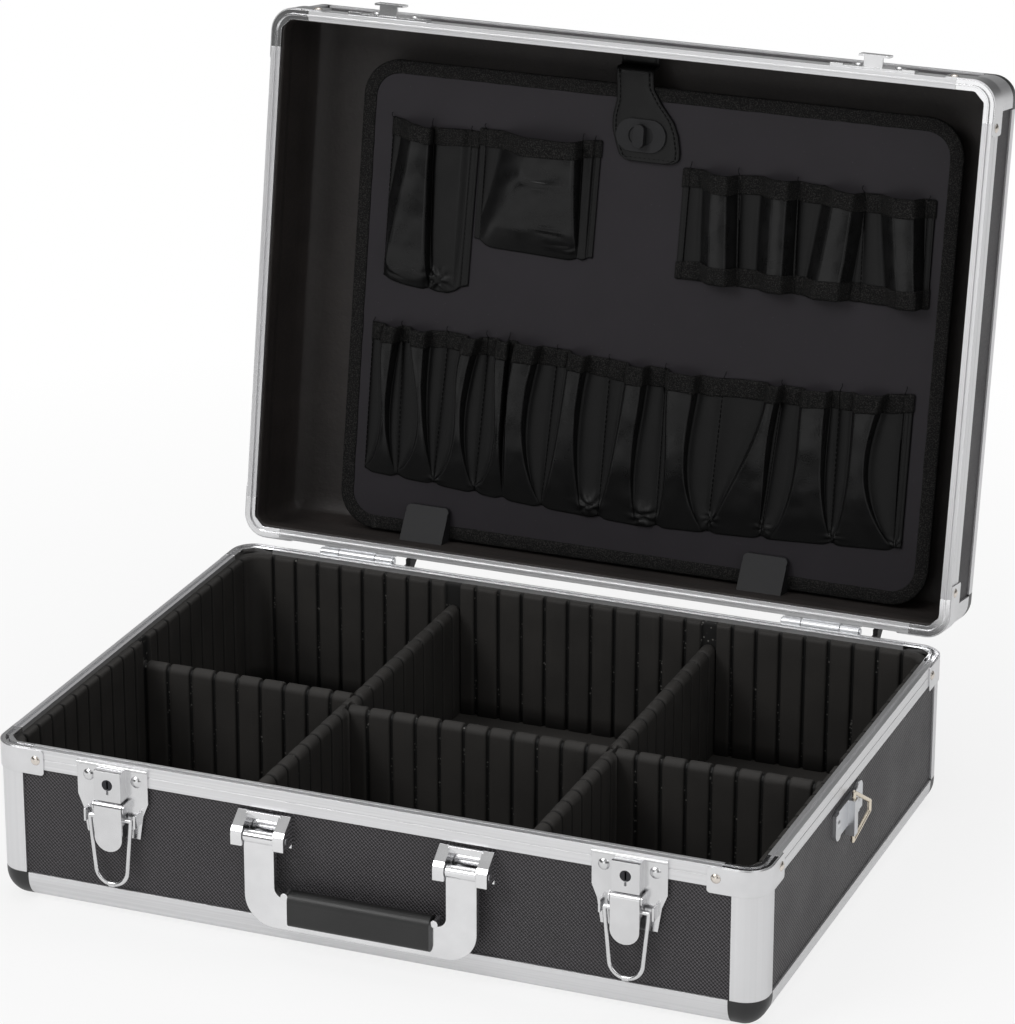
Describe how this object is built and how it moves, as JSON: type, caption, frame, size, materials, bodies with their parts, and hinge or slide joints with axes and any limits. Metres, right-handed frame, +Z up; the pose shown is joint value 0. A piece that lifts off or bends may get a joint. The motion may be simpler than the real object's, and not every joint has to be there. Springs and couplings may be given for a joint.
{
  "type": "hard tool case",
  "caption": "Aluminium framed hard tool case with a hinged lid, draw latches, carry handle, foam dividers and a removable pocket board.",
  "frame": {"origin": "centre of the base's rest plane, on the underside of the bottom edge profiles", "axes": "+X to the right seen from the handle side, +Y to the back where the hinges are, +Z up"},
  "size_m": [0.477, 0.4676, 0.4357],
  "materials": {
    "panel": "black plastic skin with a diamond emboss over fibreboard",
    "panel_flat": "black plastic skin over fibreboard",
    "rail": "satin anodised with fine drawn lines",
    "bright": "bright plated pressed steel",
    "rivet": "domed rivet heads",
    "zinc": "zinc plated",
    "ring": "pale brass plated wire",
    "cap": "black moulded plastic",
    "lock": "dark lock core",
    "grip": "black soft plastic",
    "foam": "black closed cell foam",
    "liner": "dark brown black liner paper",
    "board": "dark aubergine grey covered board",
    "tape": "woven black tape",
    "pocket": "glossy black imitation leather"
  },
  "bodies": {
    "base": {"base_side_panels": "panel", "base_bottom_panel": "panel_flat", "base_rim_rails": "rail", "base_rim_corners": "bright", "base_corner_posts": "rail", "base_corner_brackets": "bright", "base_bottom_edges": "rail", "base_corner_caps": "cap", "base_rivets": "rivet", "wall_lining": "foam", "floor_lining": "foam", "latch_plate_left": "bright", "latch_plate_right": "bright", "handle_brackets": "bright", "handle_pins": "bright", "strap_brackets": "zinc", "hinge_base_leaves": "zinc", "hinge_pins": "zinc", "lid_stops": "cap", "latch_pins": "bright"},
    "lid": {"lid_side_panels": "panel", "lid_top_panel": "panel_flat", "lid_rim_rails": "rail", "lid_rim_corners": "bright", "lid_corner_posts": "rail", "lid_corner_brackets": "bright", "lid_top_edges": "rail", "lid_corner_caps": "cap", "lid_rivets": "rivet", "lid_lining": "liner", "hinge_lid_leaves": "zinc", "latch_catches": "bright", "tool_board": "board", "board_binding": "tape", "upper_pockets": "pocket", "tool_loops": "pocket", "lower_pockets": "pocket", "board_clips": "cap", "board_strap": "pocket", "turn_lock_plate": "cap"},
    "lever_left": {"latch_lever_left": "bright"},
    "lever_right": {"latch_lever_right": "bright"},
    "bail_left": {"latch_bail_left": "bright"},
    "bail_right": {"latch_bail_right": "bright"},
    "lock_left": {"lock_cylinder_left": "lock"},
    "lock_right": {"lock_cylinder_right": "lock"},
    "handle": {"handle_frame": "bright", "handle_grip": "grip"},
    "ring_left": {"strap_ring_left": "ring"},
    "ring_right": {"strap_ring_right": "ring"},
    "turn_knob": {"turn_lock_knob": "cap"},
    "long_left_divider": {"divider_long_left": "foam"},
    "long_right_divider": {"divider_long_right": "foam"},
    "cross_left_divider": {"divider_cross_left": "foam"},
    "cross_middle_divider": {"divider_cross_middle": "foam"},
    "cross_right_divider": {"divider_cross_right": "foam"}
  },
  "joints": [
    {"name": "lid_hinge", "type": "hinge", "parent": "base", "child": "lid", "pos_m": [0, 0.1695, 0.0972], "axis": [1, 0, 0], "range_deg": [0, 100]},
    {"name": "lever_left_swing", "type": "hinge", "parent": "base", "child": "lever_left", "pos_m": [-0.1545, -0.1712, 0.0718], "axis": [1, 0, 0], "range_deg": [-92, 0]},
    {"name": "bail_left_swing", "type": "hinge", "parent": "lever_left", "child": "bail_left", "pos_m": [-0.1545, -0.1712, 0.0648], "axis": [-1, 0, 0], "range_deg": [0, 180]},
    {"name": "lock_left_turn", "type": "hinge", "parent": "base", "child": "lock_left", "pos_m": [-0.1545, -0.171, 0.086], "axis": [0, 1, 0], "range_deg": [0, 90]},
    {"name": "ring_left_swing", "type": "hinge", "parent": "base", "child": "ring_left", "pos_m": [-0.2336, -0.02, 0.068], "axis": [0, 0, 1], "range_deg": [0, 155]},
    {"name": "lever_right_swing", "type": "hinge", "parent": "base", "child": "lever_right", "pos_m": [0.1545, -0.1712, 0.0718], "axis": [1, 0, 0], "range_deg": [-92, 0]},
    {"name": "bail_right_swing", "type": "hinge", "parent": "lever_right", "child": "bail_right", "pos_m": [0.1545, -0.1712, 0.0648], "axis": [-1, 0, 0], "range_deg": [0, 180]},
    {"name": "lock_right_turn", "type": "hinge", "parent": "base", "child": "lock_right", "pos_m": [0.1545, -0.171, 0.086], "axis": [0, 1, 0], "range_deg": [0, 90]},
    {"name": "ring_right_swing", "type": "hinge", "parent": "base", "child": "ring_right", "pos_m": [0.2336, -0.02, 0.068], "axis": [0, 0, -1], "range_deg": [0, 155]},
    {"name": "handle_swing", "type": "hinge", "parent": "base", "child": "handle", "pos_m": [0, -0.1745, 0.071], "axis": [-1, 0, 0], "range_deg": [0, 95]},
    {"name": "turn_lock_turn", "type": "hinge", "parent": "lid", "child": "turn_knob", "pos_m": [0.003, 0.24999, 0.36479], "axis": [0, 0.9848, -0.1736], "range_deg": [0, 90]},
    {"name": "long_left_divider_lift", "type": "slide", "parent": "base", "child": "long_left_divider", "axis": [0, 0, -1], "range_m": [-0.075, 0]},
    {"name": "long_right_divider_lift", "type": "slide", "parent": "base", "child": "long_right_divider", "axis": [0, 0, -1], "range_m": [-0.075, 0]},
    {"name": "cross_left_divider_lift", "type": "slide", "parent": "base", "child": "cross_left_divider", "axis": [0, 0, -1], "range_m": [-0.075, 0]},
    {"name": "cross_middle_divider_lift", "type": "slide", "parent": "base", "child": "cross_middle_divider", "axis": [0, 0, -1], "range_m": [-0.075, 0]},
    {"name": "cross_right_divider_lift", "type": "slide", "parent": "base", "child": "cross_right_divider", "axis": [0, 0, -1], "range_m": [-0.075, 0]}
  ]
}
